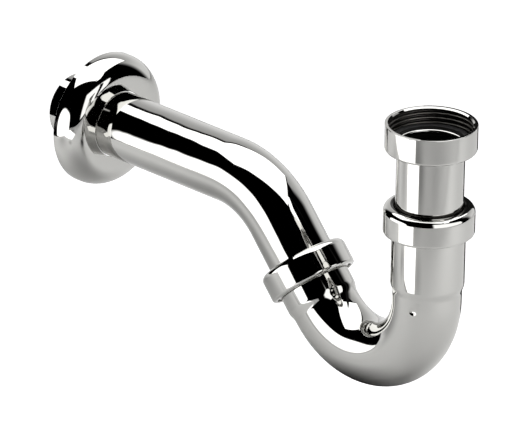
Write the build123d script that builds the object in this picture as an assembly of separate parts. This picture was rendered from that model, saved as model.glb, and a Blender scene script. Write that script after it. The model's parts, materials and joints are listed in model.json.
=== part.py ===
from build123d import *
import math
import os

# Bidet trap of chromed brass tube, in millimetres, with +Z up.
# The inlet tube stands on the Z axis, the trap lies in the XZ plane and the wall is towards -X.
# The origin is the centre of the union nut's mouth.

# Tubes and the gaps at their slip joints
tube_od = 32.0
tube_wall = 1.0
slip_gap = 0.3
seal_gap = 0.05

# Union nut, with the internal thread as a plain bore at its crest
union_nut_wall = 2.2
union_nut_height = 13.0
union_relief = 0.7
union_floor = 2.3
union_mouth_chamfer = 0.9
union_rim_round = 0.8
union_base_round = 1.6

# Inlet tube and its flat washer
flange_width = 3.2
flange_thickness = 1.2
flange_lip_round = 1.0
washer_thickness = 1.5
inlet_visible = 27.5
inlet_insertion = 30.0

# Compression nuts, the same at both slip joints
clamp_nut_wall = 2.2
clamp_nut_height = 13.8
clamp_top_wall = 2.0
clamp_shoulder_round = 3.4
clamp_base_round = 1.4
clamp_hole_round = 1.5
thread_gap = 0.3

# Ring and seal under each compression nut
slip_ring_thickness = 1.0
seal_height = 4.0

# Belled sockets of the U-bend, with the external thread as a plain collar
collar_height = 1.7
collar_length = 5.8
collar_edge = 0.6
collar_runout = 0.8
socket_chamfer = 1.5
socket_cone = 3.0
inlet_socket_depth = 32.5
inlet_socket_root = 5.5
outlet_socket_depth = 15.2
outlet_socket_root = 1.0

# U-bend and its pressed dimple
bend_oversize = 0.25
bend_radius = 37.0
bend_turn = 138.6
dimple_sphere_r = 5.2
dimple_depth = 0.5
dimple_angle = -70.0

# Wall tube
arm_insertion = 12.0
arm_leg = 38.7
arm_radius = 45.3
wall_run = 108.0

# Rosette, drawn from sheet
rosette_od = 65.0
rosette_sheet = 0.8
rosette_rim = 2.3
rosette_ring_r = 10.5
rosette_ring_arc = 98.0
rosette_to_tube_end = 20.0

# Radii and levels that follow from the sizes above
tube_r = tube_od / 2
tube_bore_r = tube_r - tube_wall
pass_r = tube_r + slip_gap
seal_bore_r = tube_r + seal_gap
bend_r = tube_r + bend_oversize
bend_bore_r = bend_r - tube_wall
socket_r = pass_r + tube_wall
collar_r = socket_r + collar_height
clamp_bore_r = collar_r + thread_gap
clamp_nut_r = clamp_bore_r + clamp_nut_wall
flange_r = tube_r + flange_width
union_thread_r = flange_r + slip_gap
union_nut_r = union_thread_r + union_nut_wall
union_floor_z = union_floor - union_nut_height
flange_top_z = union_floor_z + flange_thickness
washer_top_z = flange_top_z + washer_thickness
clamp_stack = clamp_top_wall + slip_ring_thickness + seal_height
inlet_nut_z = -union_nut_height - inlet_visible
inlet_mouth_z = inlet_nut_z - clamp_stack
inlet_socket_length = inlet_socket_depth + socket_cone + inlet_socket_root
outlet_socket_length = outlet_socket_depth + socket_cone + outlet_socket_root
bend_start_z = inlet_mouth_z - inlet_socket_length


def corner_arc(centre, radius, start, sweep):
    """Round stretch of an outline: an arc about a centre, with its angles in degrees."""
    return CenterArc((*centre, 0), radius, start, sweep)


def turned(*outline):
    """Solid turned about Z from the edges of its half section, drawn as radius and height."""
    half_section = make_face(Wire(outline))
    return revolve(Plane.XZ * half_section, Axis.Z)


def path_frames():
    """Planes at the U-bend's two sockets and at the outlet's slip joint, each along its own tube."""
    turn = math.radians(bend_turn)
    bend_end = Vector(bend_radius * (math.cos(turn) - 1), 0, bend_start_z - bend_radius * math.sin(turn))
    leg = Vector(-math.sin(turn), 0, -math.cos(turn))
    inlet_mouth = Plane((0, 0, inlet_mouth_z))
    outlet_mouth = Plane(bend_end + leg * outlet_socket_length, x_dir=(0, 1, 0), z_dir=leg)
    return inlet_mouth, outlet_mouth


inlet_mouth, outlet_mouth = path_frames()


def union_nut():
    """Round captive nut, open at the mouth, with a relief under the thread and a floor under the flange."""
    r = union_nut_r
    low = -union_nut_height
    relief_r = union_thread_r + union_relief
    mouth_r = union_thread_r + union_mouth_chamfer
    skin = Polyline((pass_r, low), (r - union_base_round, low))
    base = corner_arc((r - union_base_round, low + union_base_round), union_base_round, -90, 90)
    side = Line((r, low + union_base_round), (r, -union_rim_round))
    rim = corner_arc((r - union_rim_round, -union_rim_round), union_rim_round, 0, 90)
    inside = Polyline(
        (r - union_rim_round, 0),
        (mouth_r, 0),
        (union_thread_r, -union_mouth_chamfer),
        (union_thread_r, washer_top_z),
        (relief_r, washer_top_z),
        (relief_r, union_floor_z),
        (pass_r, union_floor_z),
        (pass_r, low),
    )
    return turned(*skin.edges(), base, side, rim, *inside.edges())


def inlet_tube():
    """Straight tube whose top is turned out into a flange, with a rounded lip at its bore."""
    end_z = inlet_mouth_z - inlet_insertion
    lip_r = tube_bore_r + flange_lip_round
    body = Polyline(
        (tube_bore_r, flange_top_z - flange_lip_round),
        (tube_bore_r, end_z),
        (tube_r, end_z),
        (tube_r, union_floor_z),
        (flange_r, union_floor_z),
        (flange_r, flange_top_z),
        (lip_r, flange_top_z),
    )
    lip = corner_arc((lip_r, flange_top_z - flange_lip_round), flange_lip_round, 90, 90)
    return turned(*body.edges(), lip)


def ring(inner_r, outer_r, low, high):
    """Plain turned ring."""
    return turned(*Polyline((inner_r, low), (outer_r, low), (outer_r, high), (inner_r, high), close=True).edges())


def union_washer():
    """Flat washer on the flange, clear of the rounded lip."""
    return ring(tube_bore_r + flange_lip_round + slip_gap, flange_r, flange_top_z, washer_top_z)


def clamp_nut():
    """Compression nut over a socket's mouth at height zero, with a rounded shoulder round the tube."""
    r = clamp_nut_r
    top = clamp_stack
    low = top - clamp_nut_height
    hole = corner_arc((pass_r + clamp_hole_round, top - clamp_hole_round), clamp_hole_round, 180, -90)
    face = Line((pass_r + clamp_hole_round, top), (r - clamp_shoulder_round, top))
    shoulder = corner_arc((r - clamp_shoulder_round, top - clamp_shoulder_round), clamp_shoulder_round, 90, -90)
    side = Line((r, top - clamp_shoulder_round), (r, low + clamp_base_round))
    base = corner_arc((r - clamp_base_round, low + clamp_base_round), clamp_base_round, 0, -90)
    inside = Polyline(
        (r - clamp_base_round, low),
        (clamp_bore_r, low),
        (clamp_bore_r, top - clamp_top_wall),
        (pass_r, top - clamp_top_wall),
        (pass_r, top - clamp_hole_round),
    )
    return turned(hole, face, shoulder, side, base, *inside.edges())


def slip_ring():
    """Thin ring between the compression nut's ceiling and the seal."""
    return ring(pass_r, clamp_bore_r - thread_gap, seal_height, seal_height + slip_ring_thickness)


def socket_seal():
    """Rubber ring on a socket's mouth at height zero, with a cone that fills the mouth's chamfer."""
    outer_r = collar_r - collar_edge
    section = Polyline(
        (seal_bore_r, seal_height),
        (seal_bore_r, -socket_chamfer),
        (pass_r, -socket_chamfer),
        (pass_r + socket_chamfer, 0),
        (outer_r, 0),
        (outer_r, seal_height),
        close=True,
    )
    return turned(*section.edges())


def socket(depth, length):
    """Belled tube end with its mouth at height zero, a threaded collar and a cone down to the bend."""
    section = Polyline(
        (pass_r + socket_chamfer, 0),
        (collar_r - collar_edge, 0),
        (collar_r, -collar_edge),
        (collar_r, -collar_length),
        (socket_r, -collar_length - collar_runout),
        (socket_r, -depth),
        (bend_r, -depth - socket_cone),
        (bend_r, -length),
        (bend_bore_r, -length),
        (bend_bore_r, -depth - socket_cone),
        (pass_r, -depth),
        (pass_r, -socket_chamfer),
        close=True,
    )
    return turned(*section.edges())


def trap_bend():
    """U-bend of one tube, belled at both ends, with the small dimple pressed in beside the inlet."""
    wall = Plane((0, 0, bend_start_z)) * (Circle(bend_r) - Circle(bend_bore_r))
    bend_axis = Axis((-bend_radius, 0, bend_start_z), (0, 1, 0))
    bend = revolve(wall, bend_axis, bend_turn)
    inlet = inlet_mouth * socket(inlet_socket_depth, inlet_socket_length)
    outlet = outlet_mouth * socket(outlet_socket_depth, outlet_socket_length)
    tube = bend + inlet + outlet
    reach = bend_r + dimple_sphere_r - dimple_depth
    angle = math.radians(dimple_angle)
    centre = (reach * math.cos(angle), reach * math.sin(angle), bend_start_z)
    return tube - Pos(*centre) * Sphere(dimple_sphere_r)


def arm_path():
    """Centre line of the wall tube: up the leg, round the bend and level to the wall."""
    leg = outlet_mouth.z_dir
    start = outlet_mouth.origin - leg * arm_insertion
    leg_end = start + leg * arm_leg
    rise = math.radians(bend_turn - 90)
    run_start = leg_end + Vector(-math.sin(rise), 0, 1 - math.cos(rise)) * arm_radius
    leg_line = Line(start, leg_end)
    bend = TangentArc(leg_end, run_start, tangent=leg)
    run = Line(run_start, run_start + Vector(-wall_run, 0, 0))
    return Wire([leg_line, bend, run])


def outlet_arm():
    """Wall tube: one bent tube, open at both ends."""
    path = arm_path()
    start = Plane(path @ 0, x_dir=(0, 1, 0), z_dir=path % 0)
    outside = sweep(start * Circle(tube_r), path)
    return outside - sweep(start * Circle(tube_bore_r), path)


def wall_rosette():
    """Drawn ring with its open back at height zero: a rim, a round shoulder and a face sloping to the tube."""
    r = rosette_od / 2
    ring_r = r - rosette_ring_r
    inner_ring = rosette_ring_r - rosette_sheet
    arc_end = math.radians(rosette_ring_arc)
    slope = math.cos(arc_end) / math.sin(arc_end)

    def face_points(radius):
        crest_r = ring_r + radius * math.cos(arc_end)
        crest_h = rosette_rim + radius * math.sin(arc_end)
        return (crest_r, crest_h), (pass_r, crest_h + (crest_r - pass_r) * slope)

    outer_crest, outer_hole = face_points(rosette_ring_r)
    inner_crest, inner_hole = face_points(inner_ring)
    foot = Polyline((r - rosette_sheet, rosette_rim), (r - rosette_sheet, 0), (r, 0), (r, rosette_rim))
    outer_shoulder = corner_arc((ring_r, rosette_rim), rosette_ring_r, 0, rosette_ring_arc)
    face = Polyline(outer_crest, outer_hole, inner_hole, inner_crest)
    inner_shoulder = corner_arc((ring_r, rosette_rim), inner_ring, rosette_ring_arc, -rosette_ring_arc)
    return turned(*foot.edges(), outer_shoulder, *face.edges(), inner_shoulder)


def rosette_seat():
    """Plane of the rosette's open back on the wall tube, facing away from the wall."""
    wall_end = arm_path() @ 1
    return Plane(wall_end + Vector(rosette_to_tube_end, 0, 0), x_dir=(0, 1, 0), z_dir=(1, 0, 0))


pieces = {
    "union_nut": union_nut(),
    "union_washer": union_washer(),
    "inlet_tube": inlet_tube(),
    "inlet_clamp_nut": inlet_mouth * clamp_nut(),
    "inlet_slip_ring": inlet_mouth * slip_ring(),
    "inlet_seal": inlet_mouth * socket_seal(),
    "trap_bend": trap_bend(),
    "outlet_clamp_nut": outlet_mouth * clamp_nut(),
    "outlet_slip_ring": outlet_mouth * slip_ring(),
    "outlet_seal": outlet_mouth * socket_seal(),
    "outlet_arm": outlet_arm(),
    "wall_rosette": rosette_seat() * wall_rosette(),
}

os.makedirs("parts", exist_ok=True)
for name, piece in pieces.items():
    export_step(piece, f"parts/{name}.step")
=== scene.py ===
import json
import math

import bpy
import numpy as np
from mathutils import Matrix, Vector


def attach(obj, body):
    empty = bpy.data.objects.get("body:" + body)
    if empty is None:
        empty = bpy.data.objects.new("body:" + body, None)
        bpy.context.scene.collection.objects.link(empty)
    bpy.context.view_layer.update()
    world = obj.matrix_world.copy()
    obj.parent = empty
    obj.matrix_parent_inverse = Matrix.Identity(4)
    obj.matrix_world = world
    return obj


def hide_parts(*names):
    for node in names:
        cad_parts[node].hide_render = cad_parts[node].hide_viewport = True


# Looks of the chromed bidet trap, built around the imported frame.
# Every turned or bent piece is one closed skin: a rounded outline carried round a centre line.
# Sizes are in millimetres and become metres where a mesh is made.

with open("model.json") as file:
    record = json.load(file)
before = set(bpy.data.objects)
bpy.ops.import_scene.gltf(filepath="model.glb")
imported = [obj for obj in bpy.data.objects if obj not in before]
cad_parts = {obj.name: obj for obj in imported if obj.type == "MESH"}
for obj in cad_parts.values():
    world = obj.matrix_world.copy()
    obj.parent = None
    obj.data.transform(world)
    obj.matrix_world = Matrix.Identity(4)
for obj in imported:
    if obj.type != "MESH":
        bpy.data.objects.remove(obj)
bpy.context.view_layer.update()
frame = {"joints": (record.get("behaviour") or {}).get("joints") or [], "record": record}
record = frame["record"]
joints = {j["name"]: j for j in frame["joints"]}
mounts = {m["name"]: m for m in record["mounts"]}

MM = 0.001
SEGMENTS = 160
ARC_STEP = math.radians(6)
BEND_STEP = 1.0


def point_mm(place):
    """A place in the frame, in millimetres."""
    return np.array(place, float) / MM


# Sizes of the solids that the skins stand for
tube_r = 16.0
tube_bore_r = 15.0
pass_r = 16.3
seal_bore_r = 16.05
bend_r = 16.25
bend_bore_r = 15.25
socket_r = 17.3
collar_r = 19.0
clamp_bore_r = 19.3
clamp_nut_r = 21.5
flange_r = 19.2
union_thread_r = mounts["inlet_union"]["dims"]["r_mm"]
union_nut_r = 21.7
rosette_r = 32.5

# Roundings of edges, from sharp to soft
seal_round = 0.1
fine_round = 0.15
edge_round = 0.2
end_round = 0.25
lip_round = 0.3
socket_soft_round = 6.0

# Places and headings from the frame's joints
inlet_mouth = point_mm(joints["inlet_nut_turn"]["pos_m"])
outlet_mouth = point_mm(joints["arm_swivel"]["pos_m"])
leg = np.array(joints["arm_swivel"]["axis"], float)
leg_heading = math.atan2(-leg[0], -leg[2])
UP = math.pi
WALL = math.pi / 2
ROOM = -math.pi / 2

# Union nut
union_nut_height = 13.0
union_relief_r = 20.2
union_floor = 2.3
union_mouth_run = 0.8
union_mouth_drop = 0.6
union_rim_round = 0.25
union_base_round = 1.6
union_pitch = 2.309
union_thread_depth = 1.3
union_thread_fade = 0.8

# Inlet tube and washer
flange_top = -9.5
flange_thickness = 1.2
flange_lip_round = 1.0
washer_thickness = 1.5
washer_inset = 0.3
inlet_insertion = 30.0

# Compression joints
clamp_stack = 7.0
clamp_nut_height = 13.8
clamp_top_wall = 2.0
clamp_shoulder_round = 3.4
clamp_base_round = 1.4
clamp_hole_round = 1.5
clamp_pitch = 2.0
clamp_thread_depth = 0.9
clamp_thread_start = 0.5
slip_ring_thickness = 1.0
slip_ring_play = 0.3
seal_height = 4.0

# U-bend
collar_length = 5.8
collar_edge = 0.6
collar_runout = 0.8
socket_chamfer = 1.5
socket_cone = 3.0
inlet_socket_root = 5.5
outlet_socket_root = 1.0
inlet_socket_depth = 32.5
outlet_socket_depth = 15.2
bend_radius = 37.0
dimple_sphere_r = 5.2
dimple_depth = 0.5
dimple_angle = math.radians(-70)
dimple_patch = 2.6
dimple_patch_step = 0.2
dimple_patch_angles = np.radians(np.arange(-10, 10.01, 0.5))

# Wall tube and rosette
arm_insertion = 12.0
arm_leg = 38.7
arm_radius = 45.3
wall_run = 108.0
rosette_sheet = 0.8
rosette_rim = 2.3
rosette_ring_r = 10.5
rosette_slope = math.radians(8)


class Route:
    """Centre line in the XZ plane, in millimetres: runs that follow each other, each with a turn about +Y."""

    def __init__(self, start, heading, *runs):
        self.runs = []
        place = np.array(start, float)
        begin = 0.0
        for length, turn in runs or ((1.0, 0.0),):
            self.runs.append((begin, length, turn, place, heading))
            place = self.along(self.runs[-1], length)[0]
            heading += turn
            begin += length
        self.length = begin

    @staticmethod
    def tangent(heading):
        return np.array([-math.sin(heading), 0.0, -math.cos(heading)])

    @staticmethod
    def inward(heading):
        return np.array([-math.cos(heading), 0.0, math.sin(heading)])

    def along(self, run, distance):
        """Place and direction at a distance into one run."""
        _, length, turn, place, heading = run
        if not turn:
            return place + self.tangent(heading) * distance, self.tangent(heading)
        radius = length / turn
        now = heading + distance / radius
        return place + radius * (self.inward(heading) - self.inward(now)), self.tangent(now)

    def at(self, s):
        """Place and direction at a distance along the whole line, straight on beyond its ends."""
        for run in reversed(self.runs):
            if s >= run[0] or run is self.runs[0]:
                inside = min(max(s - run[0], 0.0), run[1])
                place, ahead = self.along(run, inside)
                return place + ahead * (s - run[0] - inside), ahead

    def bent(self, low, high):
        """True if any turn lies between two distances."""
        return any(turn and begin < high and begin + length > low for begin, length, turn, *_ in self.runs)


class Corner:
    """One corner of an outline: distance along the line, radius and rounding.
    The stretch that starts there may have a thread, the dull plate of a bore (painted groove shade on the
    compression nuts), or finer rings."""

    def __init__(self, s, r, rounding=0.0, thread=None, bore=False, step=None):
        self.at = np.array([s, r], float)
        self.rounding = rounding
        self.thread = thread
        self.bore = bore
        self.step = step


class Span:
    """A stretch of an outline with its own normals: tangent stretches meet smoothly, corners stay crisp."""

    def __init__(self, points, normals, thread=None, bore=False):
        self.points = np.array(points, float)
        self.normals = np.array(normals, float)
        self.thread = thread
        self.bore = bore


def unit(v):
    """The same direction with a length of one."""
    return v / np.linalg.norm(v)


def smooth(share):
    """Smooth step of a share between 0 and 1."""
    return share * share * (3 - 2 * share)


def outline(corners, route):
    """Spans of a closed outline, with its corners rounded and its outward side to the normals."""
    at = [c.at for c in corners]
    count = len(corners)
    area = sum(at[i - 1][0] * at[i][1] - at[i][0] * at[i - 1][1] for i in range(count))
    side = 1.0 if area > 0 else -1.0

    def outward(direction):
        return side * np.array([direction[1], -direction[0]])

    arcs = []
    for i, corner in enumerate(corners):
        back = unit(at[i - 1] - at[i])
        ahead = unit(at[(i + 1) % count] - at[i])
        half = math.acos(max(-1.0, min(1.0, float(back @ ahead)))) / 2
        reach = corner.rounding / math.tan(half) if corner.rounding else 0.0
        arcs.append((at[i] + back * reach, at[i] + ahead * reach, outward(-back), outward(ahead), half))
    spans = []
    for i, corner in enumerate(corners):
        begin, end, normal_in, normal_out, half = arcs[i]
        if corner.rounding:
            turn = math.pi - 2 * half
            steps = max(3, math.ceil(turn / ARC_STEP))
            convex = 1.0 if normal_in @ unit(at[i] - (begin + end) / 2) > 0 else -1.0
            centre = begin - convex * corner.rounding * normal_in
            sense = math.copysign(turn, normal_in[0] * normal_out[1] - normal_in[1] * normal_out[0])
            normals = []
            for k in range(steps + 1):
                a = sense * k / steps
                c, s = math.cos(a), math.sin(a)
                normals.append((normal_in[0] * c - normal_in[1] * s, normal_in[0] * s + normal_in[1] * c))
            normals = np.array(normals)
            points = centre + convex * corner.rounding * normals
            spans.append(Span(points, normals, None, corner.bore))
        start, stop = end, arcs[(i + 1) % count][0]
        reach = np.linalg.norm(stop - start)
        if reach < 1e-6:
            continue
        steps = 1
        if corner.thread:
            steps = math.ceil(abs(stop[0] - start[0]) / corner.thread.pitch * corner.thread.samples)
        elif corner.step:
            steps = math.ceil(reach / corner.step)
        elif route.bent(*sorted((start[0], stop[0]))):
            steps = math.ceil(reach / BEND_STEP)
        share = np.linspace(0, 1, steps + 1)[:, None]
        points = start + share * (stop - start)
        spans.append(Span(points, np.repeat([normal_out], steps + 1, 0), corner.thread, corner.bore))
    return spans


class Thread:
    """A screw thread cut into a straight stretch: pitch, depth into the wall, and the ends where it fades."""

    samples = 16
    flat = 0.12
    probe = 0.01

    def __init__(self, pitch, depth, low, high, fade=1.0):
        self.pitch = pitch
        self.depth = depth
        self.low = low
        self.high = high
        self.fade = fade

    def cut(self, s, angle):
        """Depth of the thread at a place and angle: a rounded vee that runs out at both ends."""
        phase = (s / self.pitch + angle / (2 * math.pi)) % 1.0
        vee = 1 - np.abs(2 * phase - 1)
        vee = np.clip((vee - self.flat) / (1 - 2 * self.flat), 0, 1)
        vee = (smooth(vee) + vee) / 2
        ends = np.clip(np.minimum(s - self.low, self.high - s) / self.fade, 0, 1)
        return self.depth * vee * smooth(ends)

    def slopes(self, s, angle):
        """Slope of the cut along the line and round it."""
        step = self.probe
        along = self.cut(s + step, angle) - self.cut(s - step, angle)
        turn = self.cut(s, angle + step) - self.cut(s, angle - step)
        return along / (2 * step), turn / (2 * step)


EVEN_ANGLES = np.arange(SEGMENTS) * 2 * math.pi / SEGMENTS
SIDEWAYS = np.array([0.0, 1.0, 0.0])


def skin(name, route, corners, angles=EVEN_ANGLES, shape=None):
    """Closed mesh of an outline carried round a route, with exact normals. shape may move a ring's points."""
    around = len(angles)
    cos, sin = np.cos(angles), np.sin(angles)
    verts, faces, face_normals, bores = [], [], [], []
    spans = outline(corners, route)
    ring = 0
    total = sum(len(span.points) - 1 for span in spans)
    columns = np.arange(around)
    nexts = (columns + 1) % around
    for span in spans:
        rows = []
        for (s, r), (along, out) in zip(span.points, span.normals):
            place, ahead = route.at(s)
            cross = np.array([ahead[2], 0.0, -ahead[0]])
            radial = cos[:, None] * cross + sin[:, None] * SIDEWAYS
            radius = np.full(around, r)
            normals = radial * out + ahead * along
            if span.thread:
                outward = math.copysign(1.0, out)
                radius = r - outward * span.thread.cut(s, angles)
                slope, twist = span.thread.slopes(s, angles)
                around_dir = -sin[:, None] * cross + cos[:, None] * SIDEWAYS
                tilt = radial + outward * (slope[:, None] * ahead + (twist / radius)[:, None] * around_dir)
                normals = outward * tilt
            points = place + radial * radius[:, None]
            if shape:
                points, normals = shape(points, normals, out)
            normals = normals / np.linalg.norm(normals, axis=1)[:, None]
            rows.append((points, normals))
        for k, (points, normals) in enumerate(rows[:-1]):
            verts.append(points)
            low, high = ring * around, ((ring + 1) % total) * around
            faces.append(np.stack([low + columns, high + columns, high + nexts, low + nexts], 1))
            above = rows[k + 1][1]
            face_normals.append(np.stack([normals, above, above[nexts], normals[nexts]], 1))
            bores.append(np.full(around, span.bore))
            ring += 1
    verts = np.concatenate(verts) * MM
    faces = np.concatenate(faces)
    loop_normals = np.concatenate(face_normals)
    a, b, c = (verts[faces[:, k]] for k in range(3))
    facing = np.sum(np.cross(b - a, c - a) * loop_normals[:, 0], 1).sum()
    if facing < 0:
        faces = faces[:, ::-1]
        loop_normals = loop_normals[:, ::-1]
    mesh = bpy.data.meshes.new(name)
    mesh.from_pydata(verts.tolist(), [], faces.tolist())
    mesh.polygons.foreach_set("use_smooth", [True] * len(faces))
    mesh.polygons.foreach_set("material_index", np.concatenate(bores).astype(int))
    mesh.normals_split_custom_set(loop_normals.reshape(-1, 3).tolist())
    mesh.update()
    obj = bpy.data.objects.new(name, mesh)
    bpy.context.scene.collection.objects.link(obj)
    return obj


def new_material(name):
    """Material with its node tree, and the tree's principled shader."""
    material = bpy.data.materials.new(name)
    material.use_nodes = True
    tree = material.node_tree
    shader = tree.nodes["Principled BSDF"]
    return material, tree, shader


def linked(tree, kind, **inputs):
    """New node with some of its inputs set by value or by another node's output."""
    node = tree.nodes.new(kind)
    for key, value in inputs.items():
        socket = node.inputs[key.replace("_", " ")]
        if isinstance(value, bpy.types.NodeSocket):
            tree.links.new(value, socket)
        else:
            socket.default_value = value
    return node


def noise(tree, **inputs):
    """Noise in a piece's own coordinates."""
    place = tree.nodes.new("ShaderNodeTexCoord").outputs["Object"]
    return linked(tree, "ShaderNodeTexNoise", Vector=place, **inputs).outputs["Fac"]


def add_bump(tree, shader, height, strength, distance):
    """Bump of a height on a shader's normal."""
    bump = linked(tree, "ShaderNodeBump", Height=height, Strength=strength, Distance=distance)
    tree.links.new(bump.outputs["Normal"], shader.inputs["Normal"])


def add_tones(tree, shader, share, low, high):
    """Base colour between two tones."""
    tone = linked(tree, "ShaderNodeMix", Factor=share)
    tone.data_type = "RGBA"
    tone.inputs["A"].default_value = (*low, 1)
    tone.inputs["B"].default_value = (*high, 1)
    tree.links.new(tone.outputs["Result"], shader.inputs["Base Color"])


def chrome_plate(name, wave):
    """Bright chrome: the metal's own reflectance, faint wipe marks in its gloss and waves in its polish."""
    material, tree, shader = new_material(name)
    shader.inputs["Base Color"].default_value = (0.563, 0.559, 0.540, 1)
    shader.inputs["Metallic"].default_value = 1.0
    smears = noise(tree, Scale=45.0, Detail=4.0, Roughness=0.6)
    gloss = linked(tree, "ShaderNodeMapRange", Value=smears,
                   From_Min=0.3, From_Max=0.7, To_Min=0.02, To_Max=0.05)
    tree.links.new(gloss.outputs["Result"], shader.inputs["Roughness"])
    waves = noise(tree, Scale=48.0, Detail=1.0)
    add_bump(tree, shader, waves, strength=1.0, distance=wave)
    return material


def bore_plate(name, low, high):
    """Dull, warm plate inside a tube or a nut, stained between two levels. At near-black levels it is painted
    shade.
    """
    material, tree, shader = new_material(name)
    shader.inputs["Metallic"].default_value = 1.0
    shader.inputs["Roughness"].default_value = 0.3
    warmth = np.array([1.0, 0.96, 0.88])
    stain = noise(tree, Scale=60.0, Detail=5.0, Roughness=0.65)
    add_tones(tree, shader, stain, low * warmth, high * warmth)
    return material


def black_rubber():
    """Matt black rubber with a fine grain."""
    material, tree, shader = new_material("black_rubber")
    shader.inputs["Base Color"].default_value = (0.012, 0.012, 0.012, 1)
    shader.inputs["Roughness"].default_value = 0.6
    grain = noise(tree, Scale=900.0, Detail=3.0)
    add_bump(tree, shader, grain, strength=0.2, distance=0.0002)
    return material


def slip_plastic():
    """Natural polyethylene of the slip rings."""
    material, tree, shader = new_material("slip_plastic")
    shader.inputs["Roughness"].default_value = 0.45
    cloud = noise(tree, Scale=120.0, Detail=2.0)
    add_tones(tree, shader, cloud, (0.72, 0.72, 0.69), (0.80, 0.80, 0.77))
    return material


# Finishes: the bent wall tube has the most uneven polish; the near-black plate in the compression nuts' holes
# is painted shade of the groove round the tube
chrome = chrome_plate("chrome_plate", wave=0.00003)
bent_chrome = chrome_plate("bent_chrome_plate", wave=0.0004)
bore = bore_plate("bore_plate", low=0.08, high=0.16)
groove = bore_plate("groove_plate", low=0.015, high=0.04)
rubber = black_rubber()
plastic = slip_plastic()


def stand_for(piece, node, body, slot, *materials):
    """The piece takes a node's place on its body, with its finish."""
    for material in materials:
        piece.data.materials.append(material)
    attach(piece, body)
    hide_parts(node)


# Upright line through the inlet, where a distance is a height in the frame
upright = Route((0, 0, 0), UP)


def plain_ring(name, line, low, high, inner_r, outer_r, rounding):
    """Flat ring between two heights and two radii."""
    places = ((low, inner_r), (low, outer_r), (high, outer_r), (high, inner_r))
    return skin(name, line, [Corner(s, r, rounding) for s, r in places])


def union_nut():
    """Captive nut with its internal thread, a relief under the thread and a floor under the flange."""
    low = -union_nut_height
    washer_top = flange_top + washer_thickness
    floor = low + union_floor
    thread = Thread(union_pitch, union_thread_depth, washer_top, -union_mouth_drop, union_thread_fade)
    corners = [
        Corner(low, pass_r, edge_round),
        Corner(low, union_nut_r, union_base_round),
        Corner(0, union_nut_r, union_rim_round),
        Corner(0, union_thread_r + union_mouth_run, lip_round),
        Corner(-union_mouth_drop, union_thread_r, thread=thread, bore=True),
        Corner(washer_top, union_thread_r, bore=True),
        Corner(washer_top, union_relief_r, bore=True),
        Corner(floor, union_relief_r, bore=True),
        Corner(floor, pass_r),
    ]
    piece = skin("union_nut_skin", upright, corners)
    stand_for(piece, "union_nut", "union", "chrome", chrome, bore)


def inlet_tube():
    """Straight tube with a turned-out flange and a rounded lip at its bore."""
    low = inlet_mouth[2] - inlet_insertion
    flange_base = flange_top - flange_thickness
    corners = [
        Corner(low, tube_bore_r, edge_round),
        Corner(low, tube_r, edge_round),
        Corner(flange_base, tube_r),
        Corner(flange_base, flange_r, edge_round),
        Corner(flange_top, flange_r, lip_round),
        Corner(flange_top, tube_bore_r, flange_lip_round),
        Corner(flange_top - 2 * flange_lip_round, tube_bore_r, bore=True),
    ]
    piece = skin("inlet_tube_skin", upright, corners)
    stand_for(piece, "inlet_tube", "inlet", "chrome", chrome, bore)


def union_washer():
    """Flat rubber washer on the flange."""
    low, high = flange_top, flange_top + washer_thickness
    inner_r = tube_bore_r + flange_lip_round + washer_inset
    piece = plain_ring("union_washer_skin", upright, low, high, inner_r, flange_r, edge_round)
    stand_for(piece, "union_washer", "inlet", "rubber", rubber)


def compression_joint(name, mouth, heading):
    """Nut, slip ring and seal on one socket, along the socket's own line."""
    line = Route(mouth, heading)
    top = clamp_stack
    low = top - clamp_nut_height
    ceiling = top - clamp_top_wall
    thread_end = ceiling - slip_ring_thickness - seal_height / 2
    thread = Thread(clamp_pitch, clamp_thread_depth, low + clamp_thread_start, thread_end)
    nut = skin(f"{name}_nut_skin", line, [
        # The hole's rounding and the flat beside it take the second finish: painted shade of the groove
        Corner(top, pass_r, clamp_hole_round, bore=True),
        Corner(top, clamp_nut_r, clamp_shoulder_round),
        Corner(low, clamp_nut_r, clamp_base_round),
        Corner(low, clamp_bore_r, fine_round, thread),
        Corner(ceiling, clamp_bore_r),
        Corner(ceiling, pass_r, bore=True),
    ])
    stand_for(nut, f"{name}_clamp_nut", f"{name}_nut", "chrome", chrome, groove)
    ring_r = clamp_bore_r - slip_ring_play
    ring = plain_ring(f"{name}_ring_skin", line, seal_height, ceiling, pass_r, ring_r, fine_round)
    stand_for(ring, f"{name}_slip_ring", f"{name}_ring", "slip_ring", plastic)
    outer_r = collar_r - collar_edge
    seal = skin(f"{name}_seal_skin", line, [
        Corner(seal_height, seal_bore_r, seal_round),
        Corner(-socket_chamfer, seal_bore_r),
        Corner(-socket_chamfer, pass_r),
        Corner(0, pass_r + socket_chamfer),
        Corner(0, outer_r, seal_round),
        Corner(seal_height, outer_r, lip_round),
    ])
    stand_for(seal, f"{name}_seal", "bend", "rubber", rubber)


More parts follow.
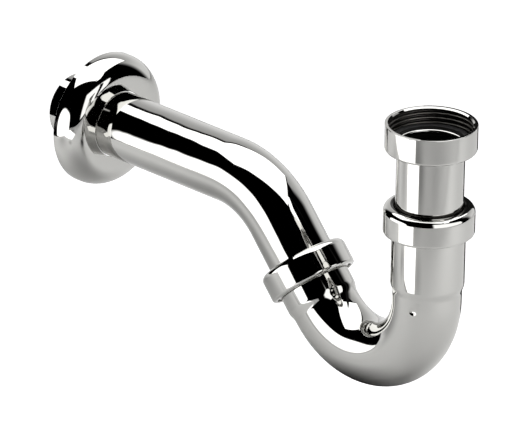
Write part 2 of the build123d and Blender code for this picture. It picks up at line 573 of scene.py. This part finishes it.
def trap_bend():
    """U-bend of one tube: two belled, threaded sockets, the bend between them and the pressed dimple."""
    inlet_length = inlet_socket_depth + socket_cone + inlet_socket_root
    outlet_length = outlet_socket_depth + socket_cone + outlet_socket_root
    bend_length = bend_radius * leg_heading
    line = Route(inlet_mouth, 0.0, (inlet_length, 0.0), (bend_length, leg_heading), (outlet_length, 0.0))
    end = line.length
    runout = collar_length + collar_runout
    inlet_cone = inlet_socket_depth + socket_cone
    outlet_cone = outlet_socket_depth + socket_cone
    inlet_thread = Thread(clamp_pitch, clamp_thread_depth, collar_edge, collar_length)
    outlet_thread = Thread(clamp_pitch, clamp_thread_depth, end - collar_length, end - collar_edge)
    corners = [
        Corner(0, pass_r + socket_chamfer),
        Corner(0, collar_r - collar_edge),
        Corner(collar_edge, collar_r, thread=inlet_thread),
        Corner(collar_length, collar_r),
        Corner(runout, socket_r),
        Corner(inlet_socket_depth, socket_r, socket_soft_round),
        Corner(inlet_cone, bend_r, socket_soft_round),
        Corner(inlet_length - dimple_patch, bend_r, step=dimple_patch_step),
        Corner(inlet_length + dimple_patch, bend_r),
        Corner(end - outlet_cone, bend_r, socket_soft_round),
        Corner(end - outlet_socket_depth, socket_r, socket_soft_round),
        Corner(end - runout, socket_r),
        Corner(end - collar_length, collar_r, thread=outlet_thread),
        Corner(end - collar_edge, collar_r),
        Corner(end, collar_r - collar_edge),
        Corner(end, pass_r + socket_chamfer, bore=True),
        Corner(end - socket_chamfer, pass_r, bore=True),
        Corner(end - outlet_socket_depth, pass_r, bore=True),
        Corner(end - outlet_cone, bend_bore_r, bore=True),
        Corner(inlet_cone, bend_bore_r, bore=True),
        Corner(inlet_socket_depth, pass_r, bore=True),
        Corner(socket_chamfer, pass_r, bore=True),
    ]
    reach = bend_r + dimple_sphere_r - dimple_depth
    centre = line.at(inlet_length)[0] + reach * np.array([math.cos(dimple_angle), math.sin(dimple_angle), 0])

    def press(points, normals, out):
        """Push what lies inside the dimple's sphere back to its surface."""
        if out < 0:
            return points, normals
        offset = points - centre
        away = np.linalg.norm(offset, axis=1)
        inside = away < dimple_sphere_r
        push = offset[inside] / away[inside][:, None]
        points[inside] = centre + push * dimple_sphere_r
        normals = normals.copy()
        normals[inside] = -push
        return points, normals

    beside = math.atan2(math.sin(dimple_angle), -math.cos(dimple_angle))
    angles = np.concatenate([EVEN_ANGLES, beside + dimple_patch_angles])
    angles = np.unique(np.round(angles % (2 * math.pi), 6))
    piece = skin("trap_bend_skin", line, corners, angles, press)
    stand_for(piece, "trap_bend", "bend", "chrome", chrome, bore)


def outlet_arm():
    """Bent wall tube, open at both ends."""
    start = outlet_mouth - leg * arm_insertion
    turn = WALL - leg_heading
    line = Route(start, leg_heading, (arm_leg, 0.0), (arm_radius * abs(turn), turn), (wall_run, 0.0))
    corners = [
        Corner(0, tube_bore_r, edge_round),
        Corner(0, tube_r, edge_round),
        Corner(line.length, tube_r, end_round),
        Corner(line.length, tube_bore_r, end_round, bore=True),
    ]
    piece = skin("outlet_arm_skin", line, corners)
    stand_for(piece, "outlet_arm", "arm", "chrome", bent_chrome, bore)


def wall_rosette():
    """Drawn cover ring: a rim, a round shoulder and a face that slopes in to the tube."""
    back_x = point_mm(mounts["rosette_back"]["pos_m"])[0]
    axis_z = point_mm(mounts["wall_tube_end"]["pos_m"])[2]
    line = Route((back_x, 0, axis_z), ROOM)
    slope = math.tan(rosette_slope)

    def face_height(radius, ring_r):
        """Height of the sloping face's line at a radius, for a sheet surface with its own ring radius."""
        crest_h = rosette_rim + ring_r * math.cos(rosette_slope)
        crest_r = rosette_r - rosette_ring_r - ring_r * math.sin(rosette_slope)
        return crest_h + (radius - crest_r) * slope

    inner_ring = rosette_ring_r - rosette_sheet
    inner_r = rosette_r - rosette_sheet
    corners = [
        Corner(0, inner_r, edge_round),
        Corner(0, rosette_r, edge_round),
        Corner(face_height(rosette_r, rosette_ring_r), rosette_r, rosette_ring_r),
        Corner(face_height(pass_r, rosette_ring_r), pass_r, edge_round),
        Corner(face_height(pass_r, inner_ring), pass_r, edge_round, bore=True),
        Corner(face_height(inner_r, inner_ring), inner_r, inner_ring, bore=True),
    ]
    piece = skin("wall_rosette_skin", line, corners)
    stand_for(piece, "wall_rosette", "rosette", "chrome", chrome, bore)


union_nut()
inlet_tube()
union_washer()
compression_joint("inlet", inlet_mouth, UP)
compression_joint("outlet", outlet_mouth, leg_heading)
trap_bend()
outlet_arm()
wall_rosette()


# Camera and set, from here on in metres
CAMERA_AZIMUTH = math.radians(44.55)
CAMERA_ELEVATION = math.radians(23.26)
CAMERA_ROLL = math.radians(1.09)
CAMERA_DISTANCE = 4.01214
CAMERA_FOCAL_PX = 8716.67
CAMERA_SENSOR_MM = 36.0
CAMERA_FAR = 60.0
FRAME_W, FRAME_H = 529, 441
MOUTH_PX = (431.54, 123.33)
set_right = Vector((math.cos(CAMERA_AZIMUTH), math.sin(CAMERA_AZIMUTH), 0))
set_front = Vector((math.sin(CAMERA_AZIMUTH), -math.cos(CAMERA_AZIMUTH), 0))

WHITE = (1, 1, 1, 1)
FLOOR_Z = -0.6
FLOOR_HALF = 12.0
FLOOR_TONE = 0.8
FLOOR_LIT = 0.95
TABLE_Z = -0.1435
TABLE_TONE = 0.77
SOFT_BOX_Z = 0.72
SOFT_BOX_EAR_Z = 0.715
SOFT_BOX_GLOW = 2.6
LEFT_GLOW = 2.4
LEFT_CARD_TOP = 0.04
LEFT_SHEET_Z = TABLE_Z + 0.001
RIGHT_GLOW = 1.8
RIGHT_CARD_LOW, RIGHT_CARD_TOP = -0.085, 0.2
FLAG_FRONT = -0.05
FLAG_GLOW = 0.01
DOME_POWER = 3.0

# Edges of the pale backdrop, each from dark to lit: two azimuths and the height of a looking direction
BACKDROP_RIGHT = (math.radians(72), math.radians(54))
BACKDROP_LEFT = (math.radians(-42), math.radians(-30))
BACKDROP_TOP = (0.69, 0.65)
# Its light, from one height to another and from one level to another
BACKDROP_LIGHT = (0.75, 0.1, 0.5, 0.95)

# Painted shadows in the table's colour: right, front, reach, and the share of light left in the middle
TABLE_PAINTED_SHADOWS = (
    (-0.028, -0.028, 0.043, 0.09),
    (-0.15, -0.09, 0.10, 0.6),
    (-0.19, -0.19, 0.10, 0.7),
    (-0.165, 0.265, 0.11, 0.5),
    (-0.09, 0.16, 0.05, 0.75),
    (-0.31, -0.03, 0.13, 0.55),
    (-0.195, 0.015, 0.035, 0.6),
)
# Painted pools of light in the table's glow, on the side of the right card: right, front, reach, and the
# level in the middle
TABLE_PAINTED_LIGHTS = ((0.29, 0.22, 0.3, 0.25), (0.0, 0.42, 0.3, 0.12))


def on_set(right, front, height):
    """A place on the set: metres to the camera's right, towards the camera, and up."""
    return set_right * right + set_front * front + Vector((0, 0, height))


def sheet(name, corners, material, **seen):
    """Flat four-cornered stage sheet. Its own coordinates run from 0 to 1 along its first two edges."""
    mesh = bpy.data.meshes.new(name)
    mesh.from_pydata([tuple(c) for c in corners], [], [(0, 1, 2, 3)])
    layer = mesh.uv_layers.new(name="sheet")
    for loop, place in zip(layer.data, ((0, 0), (1, 0), (1, 1), (0, 1))):
        loop.uv = place
    mesh.materials.append(material)
    obj = bpy.data.objects.new(name, mesh)
    bpy.context.scene.collection.objects.link(obj)
    for ray, on in seen.items():
        setattr(obj, "visible_" + ray, on)


def lying(height, *places):
    """Corners of a level sheet."""
    return [on_set(right, front, height) for right, front in places]


def standing(first, second, low, high):
    """Corners of an upright card between two places."""
    return [on_set(*first, low), on_set(*second, low), on_set(*second, high), on_set(*first, high)]


def calc(tree, operation, *values):
    """Output of a math node."""
    node = tree.nodes.new("ShaderNodeMath")
    node.operation = operation
    for socket, value in zip(node.inputs, values):
        if isinstance(value, bpy.types.NodeSocket):
            tree.links.new(value, socket)
        else:
            socket.default_value = value
    return node.outputs[0]


def ramp(tree, value, low, high, out_low=0.0, out_high=1.0):
    """Output of a smooth step between two values."""
    node = tree.nodes.new("ShaderNodeMapRange")
    node.interpolation_type = "SMOOTHSTEP"
    tree.links.new(value, node.inputs["Value"])
    for name, number in (("From Min", low), ("From Max", high), ("To Min", out_low), ("To Max", out_high)):
        node.inputs[name].default_value = number
    return node.outputs["Result"]


def mirrored(tree, value):
    """Distance from the middle of a share between 0 and 1: 0 in the middle and 1 at both ends."""
    return calc(tree, "ABSOLUTE", calc(tree, "MULTIPLY_ADD", value, 2.0, -1.0))


def glow(name, strength, edge, domed=False, rim=0.0):
    """Light of a soft box or a card that falls off at its edges, inside a dark rim.
    A domed card is round on top."""
    material = bpy.data.materials.new(name)
    material.use_nodes = True
    tree = material.node_tree
    tree.nodes.clear()
    place = tree.nodes.new("ShaderNodeUVMap").outputs["UV"]
    split = linked(tree, "ShaderNodeSeparateXYZ", Vector=place)
    across, y = mirrored(tree, split.outputs["X"]), split.outputs["Y"]
    if domed:
        shape = calc(tree, "ADD", *(calc(tree, "POWER", way, DOME_POWER) for way in (across, y)))
        fall = ramp(tree, shape, 1.0, 1.0 - edge)
    else:
        lit = 1.0 - rim
        sides = ramp(tree, across, lit, lit - edge)
        fall = calc(tree, "MULTIPLY", sides, ramp(tree, mirrored(tree, y), lit, lit - edge))
    light = linked(tree, "ShaderNodeEmission", Strength=calc(tree, "MULTIPLY", fall, strength))
    linked(tree, "ShaderNodeOutputMaterial", Surface=light.outputs["Emission"])
    return material


def paper(name):
    """Matt paper, with its node tree and shader."""
    material, tree, shader = new_material(name)
    shader.inputs["Roughness"].default_value = 1.0
    shader.inputs["Specular IOR Level"].default_value = 0.0
    shader.inputs["Emission Color"].default_value = WHITE
    return material, tree, shader


def floor_paper():
    """Plain pale paper that also gives a little light of its own."""
    material, _, shader = paper("floor_paper")
    shader.inputs["Base Color"].default_value = (FLOOR_TONE, FLOOR_TONE, FLOOR_TONE, 1)
    shader.inputs["Emission Strength"].default_value = FLOOR_LIT
    return material


def pool(tree, right, front, reach, low, high):
    """A round pool on the table, from one level at its reach to another in its middle."""
    away = tree.nodes.new("ShaderNodeVectorMath")
    away.operation = "DISTANCE"
    tree.links.new(tree.nodes.new("ShaderNodeTexCoord").outputs["Object"], away.inputs[0])
    away.inputs[1].default_value = on_set(right, front, TABLE_Z)
    return ramp(tree, away.outputs["Value"], reach, 0.0, low, high)


def table_paper():
    """Pale paper of the table, with painted shadows in its colour around the trap and the lit sheet, and
    painted pools of light in its glow on the side of the right card.
    """
    material, tree, shader = paper("table_paper")
    tone = None
    # Each pool darkens the table's colour: painted shadow
    for right, front, reach, level in TABLE_PAINTED_SHADOWS:
        if tone is None:
            tone = pool(tree, right, front, reach, TABLE_TONE, TABLE_TONE * level)
        else:
            tone = calc(tree, "MULTIPLY", tone, pool(tree, right, front, reach, 1.0, level))
    tree.links.new(tone, shader.inputs["Base Color"])
    # Each pool adds glow to the table: painted light
    painted_glow = [pool(tree, right, front, reach, 0.0, level) for right, front, reach, level in TABLE_PAINTED_LIGHTS]
    tree.links.new(calc(tree, "ADD", *painted_glow), shader.inputs["Emission Strength"])
    return material


def studio():
    """Pale floor, and what the chrome mirrors: a table with painted shadows and painted pools of light, a
    soft box, lit cards and a dark flag of painted shade.
    """
    around = ((-1, -1), (1, -1), (1, 1), (-1, 1))
    floor = [Vector((x * FLOOR_HALF, y * FLOOR_HALF, FLOOR_Z)) for x, y in around]
    sheet("floor", floor, floor_paper(), glossy=False)
    mirrored_only = {"camera": False, "shadow": False, "diffuse": False}
    table = lying(TABLE_Z, (-0.36, 0.55), (0.75, 0.55), (0.75, -1.2), (-0.36, -1.2))
    sheet("table", table, table_paper(), **mirrored_only)

    box = lying(SOFT_BOX_Z, (-0.80, 0.05), (0.36, 0.38), (0.76, -0.99), (-0.86, -0.73))
    sheet("soft_box", box, glow("soft_box_light", SOFT_BOX_GLOW, edge=0.03, rim=0.04), camera=False)
    ear = lying(SOFT_BOX_EAR_Z, (0.33, 0.12), (0.46, 0.05), (0.575, 0.30), (0.43, 0.40))
    sheet("soft_box_ear", ear, glow("soft_box_ear_light", SOFT_BOX_GLOW, edge=0.002), camera=False)

    card = standing((-0.375, -0.12), (-0.285, 0.215), TABLE_Z, LEFT_CARD_TOP)
    sheet("left_card", card, glow("left_card_light", LEFT_GLOW, edge=0.2, domed=True), camera=False)
    card = lying(LEFT_SHEET_Z, (-0.165, 0.045), (-0.097, 0.125), (-0.275, 0.36), (-0.42, 0.045))
    sheet("left_sheet", card, glow("left_sheet_light", LEFT_GLOW, edge=0.03), camera=False)
    # Dark flag: a nearly black sheet seen only in the chrome, painting shade into the reflections beside the
    # upright and on the union nut's far rim
    places = ((0.004, -0.12), (0.047, -0.12), (0.047, 0.03), (-0.004, 0.03))
    flag = [on_set(right, FLAG_FRONT, height) for right, height in places]
    sheet("dark_flag", flag, glow("dark_flag_light", FLAG_GLOW, edge=0.03), **mirrored_only)
    card = standing((0.03, 0.245), (0.61, 0.05), RIGHT_CARD_LOW, RIGHT_CARD_TOP)
    sheet("right_card", card, glow("right_card_light", RIGHT_GLOW, edge=0.1), camera=False)
    bpy.context.scene.view_settings.view_transform = "Standard"


def surroundings():
    """White to the eye. The chrome sees a pale backdrop behind the trap, and darkness beside and above it."""
    world = bpy.data.worlds.new("studio")
    bpy.context.scene.world = world
    world.use_nodes = True
    tree = world.node_tree
    place = tree.nodes.new("ShaderNodeTexCoord").outputs["Generated"]
    look = linked(tree, "ShaderNodeSeparateXYZ", Vector=place)
    x, y, z = (look.outputs[k] for k in "XYZ")

    def along(direction):
        """Share of a looking direction along a level direction of the set."""
        shares = (calc(tree, "MULTIPLY", way, part) for way, part in ((x, direction.x), (y, direction.y)))
        return calc(tree, "ADD", *shares)

    azimuth = calc(tree, "ARCTAN2", along(set_right), calc(tree, "MULTIPLY", along(set_front), -1.0))
    sides = calc(tree, "MULTIPLY", ramp(tree, azimuth, *BACKDROP_RIGHT), ramp(tree, azimuth, *BACKDROP_LEFT))
    backdrop = calc(tree, "MULTIPLY", sides, ramp(tree, z, *BACKDROP_TOP))
    strength = calc(tree, "MULTIPLY", backdrop, ramp(tree, z, *BACKDROP_LIGHT))
    strength = calc(tree, "MAXIMUM", strength, tree.nodes.new("ShaderNodeLightPath").outputs["Is Camera Ray"])
    tree.links.new(strength, tree.nodes["Background"].inputs["Strength"])
    tree.nodes["Background"].inputs["Color"].default_value = WHITE


def photo_camera():
    """Camera at the photograph's angle: the union nut's mouth falls on its own pixel at its own distance."""
    azimuth, elevation, roll = CAMERA_AZIMUTH, CAMERA_ELEVATION, CAMERA_ROLL
    level_share = math.cos(elevation)
    back = Vector((math.sin(azimuth) * level_share, -math.cos(azimuth) * level_share, math.sin(elevation)))
    lift = back.cross(set_right)
    right = set_right * math.cos(roll) + lift * math.sin(roll)
    up = lift * math.cos(roll) - set_right * math.sin(roll)
    across = (MOUTH_PX[0] - FRAME_W / 2) * CAMERA_DISTANCE / CAMERA_FOCAL_PX
    above = (FRAME_H / 2 - MOUTH_PX[1]) * CAMERA_DISTANCE / CAMERA_FOCAL_PX
    data = bpy.data.cameras.new("photo_camera")
    data.sensor_width = CAMERA_SENSOR_MM
    data.lens = CAMERA_FOCAL_PX * data.sensor_width / FRAME_W
    data.clip_end = CAMERA_FAR
    camera = bpy.data.objects.new("photo_camera", data)
    bpy.context.scene.collection.objects.link(camera)
    turn = Matrix((right, up, back)).transposed()
    place = back * CAMERA_DISTANCE - right * across - up * above
    camera.matrix_world = Matrix.Translation(place) @ turn.to_4x4()
    bpy.context.scene.camera = camera


studio()
surroundings()
photo_camera()
